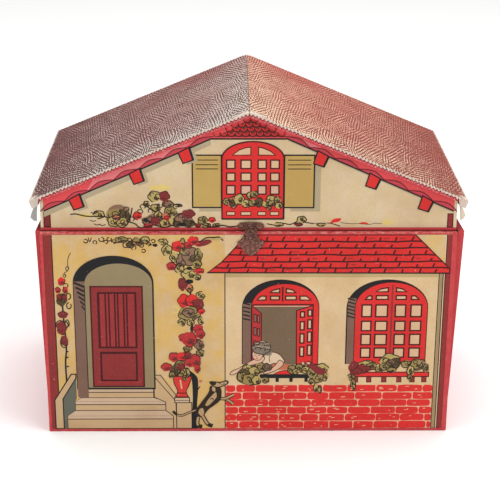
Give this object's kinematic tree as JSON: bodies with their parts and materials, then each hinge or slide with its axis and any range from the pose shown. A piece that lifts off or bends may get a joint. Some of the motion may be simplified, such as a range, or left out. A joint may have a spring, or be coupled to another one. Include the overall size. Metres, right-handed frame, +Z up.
{
  "type": "house-shaped toy box",
  "caption": "House-shaped covered-board toy box with a drop front, a hinged gabled roof lid and a stamped hasp.",
  "frame": {"origin": "on the surface the box stands on, under the middle of the whole object's bounding box", "axes": "+Z up, +X to the right of someone facing the printed front, -Y out of the front leaf towards that person"},
  "size_m": [0.3384, 0.1976, 0.2655],
  "materials": {
    "board": "thin soft board, bare and browned at its cut edges",
    "papered_board": "thin board with cream paper turned over its edges",
    "red_bookcloth": "fine woven binding cloth, pasted down, worn pale at corners",
    "printed_paper": "pasted printed paper, yellowed and scuffed, matt to satin",
    "embossed_roof_paper": "thick embossed paper, red ink rubbed to grey pulp on the ridges",
    "lining_paper": "plain pasted lining paper, matt",
    "edge_paper": "plain cream cover paper, matt",
    "flap_card": "thin grey-buff card, matt, fibrous edges",
    "hasp_iron": "thin stamped sheet iron, brown with old rust",
    "hinge_iron": "thin sheet iron, brown with old rust",
    "nail_iron": "small iron nails and pins, rusted"
  },
  "bodies": {
    "case": {"base_board": "board", "front_hinge_cloth": "red_bookcloth", "base_paper": "lining_paper", "back_wall": "board", "back_wall_cloth": "red_bookcloth", "back_lining": "lining_paper", "floor_lining": "lining_paper", "left_side_wall": "board", "right_side_wall": "board", "left_wall_cloth": "red_bookcloth", "right_wall_cloth": "red_bookcloth", "left_lining": "lining_paper", "right_lining": "lining_paper", "left_hinge_case_leaf": "hinge_iron", "right_hinge_case_leaf": "hinge_iron", "left_hinge_pin": "nail_iron", "right_hinge_pin": "nail_iron", "left_hinge_case_nail_1": "nail_iron", "left_hinge_case_nail_2": "nail_iron", "right_hinge_case_nail_1": "nail_iron", "right_hinge_case_nail_2": "nail_iron"},
    "front_leaf": {"front_leaf_board": "board", "front_leaf_binding": "red_bookcloth", "front_print": "printed_paper", "front_leaf_lining": "lining_paper", "hasp_shield": "hasp_iron", "hasp_pin": "nail_iron", "hasp_shield_nail_1": "nail_iron", "hasp_shield_nail_2": "nail_iron", "hasp_shield_nail_3": "nail_iron"},
    "hasp_tongue": {"hasp_tongue": "hasp_iron"},
    "lid": {"front_gable": "papered_board", "back_gable": "papered_board", "gable_print": "printed_paper", "gable_foot_tape": "red_bookcloth", "back_gable_paper": "edge_paper", "left_roof_board": "board", "right_roof_board": "board", "left_eave_batten": "board", "right_eave_batten": "board", "left_roof_paper": "embossed_roof_paper", "right_roof_paper": "embossed_roof_paper", "left_lid_flap": "flap_card", "right_lid_flap": "flap_card", "hasp_lid_plate": "hasp_iron", "hasp_lid_nail_1": "nail_iron", "hasp_lid_nail_2": "nail_iron", "left_hinge_lid_leaf": "hinge_iron", "right_hinge_lid_leaf": "hinge_iron", "left_hinge_lid_nail_1": "nail_iron", "left_hinge_lid_nail_2": "nail_iron", "right_hinge_lid_nail_1": "nail_iron", "right_hinge_lid_nail_2": "nail_iron"}
  },
  "joints": [
    {"name": "front_leaf_drop", "type": "hinge", "parent": "case", "child": "front_leaf", "pos_m": [0, -0.09585, 0.0004], "axis": [1, 0, 0], "range_deg": [0, 88.8]},
    {"name": "lid_lift", "type": "hinge", "parent": "case", "child": "lid", "pos_m": [0, 0.09735, 0.1705], "axis": [-1, 0, 0], "range_deg": [0, 175]},
    {"name": "hasp_tongue_swing", "type": "hinge", "parent": "front_leaf", "child": "hasp_tongue", "pos_m": [0.0015, -0.0975, 0.1663], "axis": [1, 0, 0], "range_deg": [0, 150]}
  ]
}
